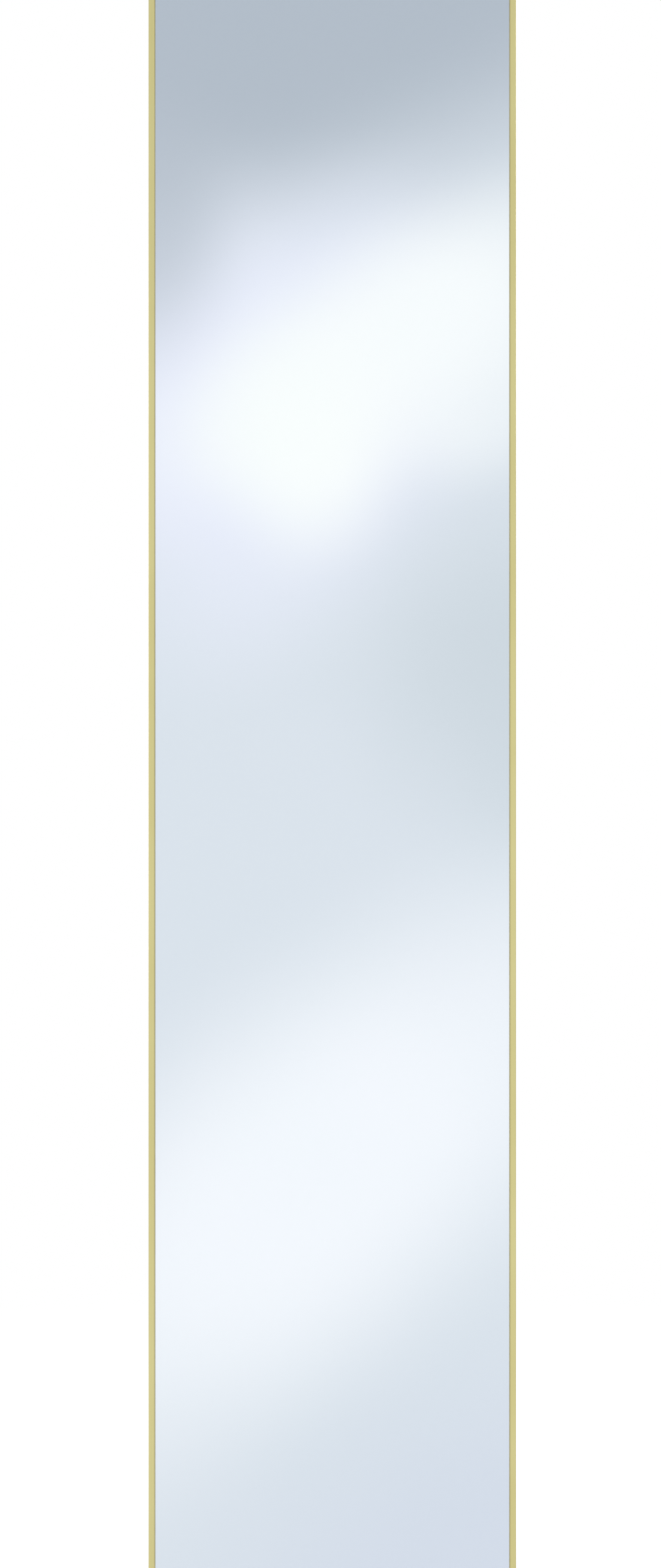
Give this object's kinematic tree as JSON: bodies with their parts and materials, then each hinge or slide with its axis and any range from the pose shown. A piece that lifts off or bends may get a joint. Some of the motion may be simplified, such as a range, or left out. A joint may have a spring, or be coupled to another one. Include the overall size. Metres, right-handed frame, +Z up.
{
  "type": "wall mirror",
  "caption": "Tall slim wall mirror: silvered glass in a narrow mitred gold frame with a sprung backing board, rubber bumpers and swivelling wire rings to hang it by.",
  "frame": {"origin": "on the wall plane, midway between the two hooks that carry the rings, 240 mm below the top edge", "axes": "+Z up along the mirror's height, +X to the right as seen from the front, +Y towards the wall; the glass faces -Y"},
  "size_m": [0.4, 0.026, 1.8],
  "materials": {
    "gold_anodised": "satin pale gold anodised extrusion",
    "silvered_glass": "clear float glass silvered on its back",
    "white_film": "white safety film",
    "white_foam": "closed cell foam",
    "hardboard": "smooth brown hardboard",
    "spring_steel": "blued spring steel strip",
    "zinc_plated": "bright zinc plate",
    "zinc_screws": "bright zinc plate, turned",
    "nickel_plated": "nickel plated strip",
    "nickel_wire": "nickel plated wire",
    "black_rubber": "moulded rubber, matt"
  },
  "bodies": {
    "mirror": {"rail_left": "gold_anodised", "rail_right": "gold_anodised", "rail_top": "gold_anodised", "rail_bottom": "gold_anodised", "mirror_glass": "silvered_glass", "safety_film": "white_film", "foam_sheet": "white_foam", "backing_board": "hardboard", "spring_clips_left": "spring_steel", "spring_clips_right": "spring_steel", "spring_clips_top": "spring_steel", "spring_clips_bottom": "spring_steel", "corner_plate_top_left": "zinc_plated", "corner_plate_top_right": "zinc_plated", "corner_plate_bottom_left": "zinc_plated", "corner_plate_bottom_right": "zinc_plated", "corner_shim_top_left": "zinc_plated", "corner_shim_top_right": "zinc_plated", "corner_shim_bottom_left": "zinc_plated", "corner_shim_bottom_right": "zinc_plated", "corner_screws": "zinc_screws", "hanger_strap_left": "nickel_plated", "hanger_strap_right": "nickel_plated", "hanger_clamp_left": "zinc_plated", "hanger_clamp_right": "zinc_plated", "hanger_screws": "zinc_screws", "wall_bumper_top_left": "black_rubber", "wall_bumper_top_right": "black_rubber", "wall_bumper_bottom_left": "black_rubber", "wall_bumper_bottom_right": "black_rubber"},
    "ring_left": {"hanger_ring_left": "nickel_wire"},
    "ring_right": {"hanger_ring_right": "nickel_wire"}
  },
  "joints": [
    {"name": "ring_left_swing", "type": "hinge", "parent": "mirror", "child": "ring_left", "pos_m": [-0.1933, -0.00345, -0.013], "axis": [1, 0, 0], "range_deg": [0, 180]},
    {"name": "ring_right_swing", "type": "hinge", "parent": "mirror", "child": "ring_right", "pos_m": [0.1933, -0.00345, -0.013], "axis": [1, 0, 0], "range_deg": [0, 180]}
  ]
}
